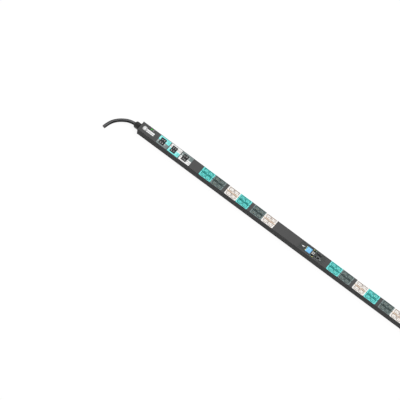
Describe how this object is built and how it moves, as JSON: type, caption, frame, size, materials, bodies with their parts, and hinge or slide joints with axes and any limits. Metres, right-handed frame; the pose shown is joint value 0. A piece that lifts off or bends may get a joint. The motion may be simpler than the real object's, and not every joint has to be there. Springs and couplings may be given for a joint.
{
  "type": "rack power strip",
  "caption": "Long slim vertical rack power strip with colour-coded outlet banks, rocker breakers, a display controller and a supply lead through a cable gland.",
  "frame": {"origin": "middle of the flat rear face, on the surface that the strip lies on", "axes": "+X along the strip from the cord end to the far end, +Z the way the outlets face, +Y across"},
  "size_m": [1.9998, 0.1402, 0.067],
  "materials": {
    "chassis_paint": "fine-textured dark grey powder coat",
    "zinc_steel": "black-passivated zinc steel",
    "gland_nylon": "black moulded nylon",
    "seal_rubber": "black rubber",
    "cord_jacket": "black flexible cord jacket",
    "lens_green": "clear green lens",
    "lens_white": "milky white lens",
    "label_cyan_grey": "printed two-tone label, cyan over grey",
    "label_white_cyan": "printed two-tone label, white over cyan",
    "label_grey_white": "printed two-tone label, grey over white",
    "breaker_plastic": "black moulded breaker housing",
    "rocker_plastic": "black rocker with pale marks",
    "outlet_cyan": "cyan moulded thermoplastic",
    "outlet_grey": "grey moulded thermoplastic",
    "outlet_white": "cream white moulded thermoplastic",
    "contact_brass": "plated spring contact",
    "bar_copper": "bare copper bar",
    "inner_plastic": "inner moulding",
    "wire_insulation": "insulated conductor",
    "bezel_plastic": "dark satin bezel",
    "display_glass": "lit blue display window",
    "circuit_board": "green circuit board",
    "socket_plastic": "black socket moulding",
    "socket_steel": "steel socket shell",
    "key_plastic": "pale key cap",
    "lens_jack": "yellow and green socket lamps"
  },
  "bodies": {
    "chassis": {"back_plate": "chassis_paint", "left_rail": "chassis_paint", "right_rail": "chassis_paint", "left_wall": "chassis_paint", "right_wall": "chassis_paint", "cord_face_plate": "chassis_paint", "controller_face_plate": "chassis_paint", "far_face_plate": "chassis_paint", "cord_end_cap": "chassis_paint", "far_end_cap": "chassis_paint", "end_cap_screws": "zinc_steel", "seam_screws": "zinc_steel", "mounting_inserts": "zinc_steel", "ground_screw": "zinc_steel", "gland_locknut": "gland_nylon", "gland_body": "gland_nylon", "gland_nut": "gland_nylon", "gland_seal": "seal_rubber", "supply_cord": "cord_jacket", "power_lamp_green": "lens_green", "power_lamp_white": "lens_white", "breaker_label_1": "label_cyan_grey", "breaker_label_2": "label_white_cyan", "breaker_label_3": "label_grey_white", "outlet_contacts": "contact_brass", "line_bars": "bar_copper", "ground_bar": "bar_copper", "bar_supports": "inner_plastic", "terminal_block": "inner_plastic", "supply_wires": "wire_insulation", "controller_bezel": "bezel_plastic", "display_window": "display_glass", "display_module": "inner_plastic", "control_board": "circuit_board", "ethernet_jack_1": "socket_plastic", "ethernet_jack_2": "socket_plastic", "usb_port": "socket_steel", "sensor_port": "socket_plastic", "expansion_port": "socket_plastic", "jack_lamps": "lens_jack", "breaker_case_1": "breaker_plastic", "breaker_case_2": "breaker_plastic", "breaker_case_3": "breaker_plastic", "outlet_bank_01": "outlet_cyan", "outlet_bank_02": "outlet_grey", "outlet_bank_03": "outlet_white", "outlet_bank_04": "outlet_cyan", "outlet_bank_05": "outlet_grey", "outlet_bank_06": "outlet_white", "outlet_bank_07": "outlet_cyan", "outlet_bank_08": "outlet_grey", "outlet_bank_09": "outlet_white", "outlet_bank_10": "outlet_cyan", "outlet_bank_11": "outlet_grey", "outlet_bank_12": "outlet_white"},
    "breaker_rocker_1": {"breaker_rocker_1": "rocker_plastic"},
    "breaker_rocker_2": {"breaker_rocker_2": "rocker_plastic"},
    "breaker_rocker_3": {"breaker_rocker_3": "rocker_plastic"},
    "breaker_rocker_4": {"breaker_rocker_4": "rocker_plastic"},
    "breaker_rocker_5": {"breaker_rocker_5": "rocker_plastic"},
    "breaker_rocker_6": {"breaker_rocker_6": "rocker_plastic"},
    "key_up": {"key_up": "key_plastic"},
    "key_down": {"key_down": "key_plastic"},
    "key_back": {"key_back": "key_plastic"},
    "key_select": {"key_select": "key_plastic"},
    "reset_button": {"reset_button": "key_plastic"}
  },
  "joints": [
    {"name": "breaker_1_switch", "type": "hinge", "parent": "chassis", "child": "breaker_rocker_1", "pos_m": [-0.7662, 0.0091, 0.059], "axis": [0, 1, 0], "range_deg": [0, 22]},
    {"name": "breaker_2_switch", "type": "hinge", "parent": "chassis", "child": "breaker_rocker_2", "pos_m": [-0.7662, -0.0091, 0.059], "axis": [0, 1, 0], "range_deg": [0, 22]},
    {"name": "breaker_3_switch", "type": "hinge", "parent": "chassis", "child": "breaker_rocker_3", "pos_m": [-0.6915, 0.0091, 0.059], "axis": [0, 1, 0], "range_deg": [0, 22]},
    {"name": "breaker_4_switch", "type": "hinge", "parent": "chassis", "child": "breaker_rocker_4", "pos_m": [-0.6915, -0.0091, 0.059], "axis": [0, 1, 0], "range_deg": [0, 22]},
    {"name": "breaker_5_switch", "type": "hinge", "parent": "chassis", "child": "breaker_rocker_5", "pos_m": [-0.6168, 0.0091, 0.059], "axis": [0, 1, 0], "range_deg": [0, 22]},
    {"name": "breaker_6_switch", "type": "hinge", "parent": "chassis", "child": "breaker_rocker_6", "pos_m": [-0.6168, -0.0091, 0.059], "axis": [0, 1, 0], "range_deg": [0, 22]},
    {"name": "key_up_press", "type": "slide", "parent": "chassis", "child": "key_up", "axis": [0, 0, -1], "range_m": [0, 0.0007], "stiffness_N_per_m": 1500},
    {"name": "key_down_press", "type": "slide", "parent": "chassis", "child": "key_down", "axis": [0, 0, -1], "range_m": [0, 0.0007], "stiffness_N_per_m": 1500},
    {"name": "key_back_press", "type": "slide", "parent": "chassis", "child": "key_back", "axis": [0, 0, -1], "range_m": [0, 0.0007], "stiffness_N_per_m": 1500},
    {"name": "key_select_press", "type": "slide", "parent": "chassis", "child": "key_select", "axis": [0, 0, -1], "range_m": [0, 0.0007], "stiffness_N_per_m": 1500},
    {"name": "reset_press", "type": "slide", "parent": "chassis", "child": "reset_button", "axis": [0, 0, -1], "range_m": [0, 0.0007], "stiffness_N_per_m": 1500}
  ]
}
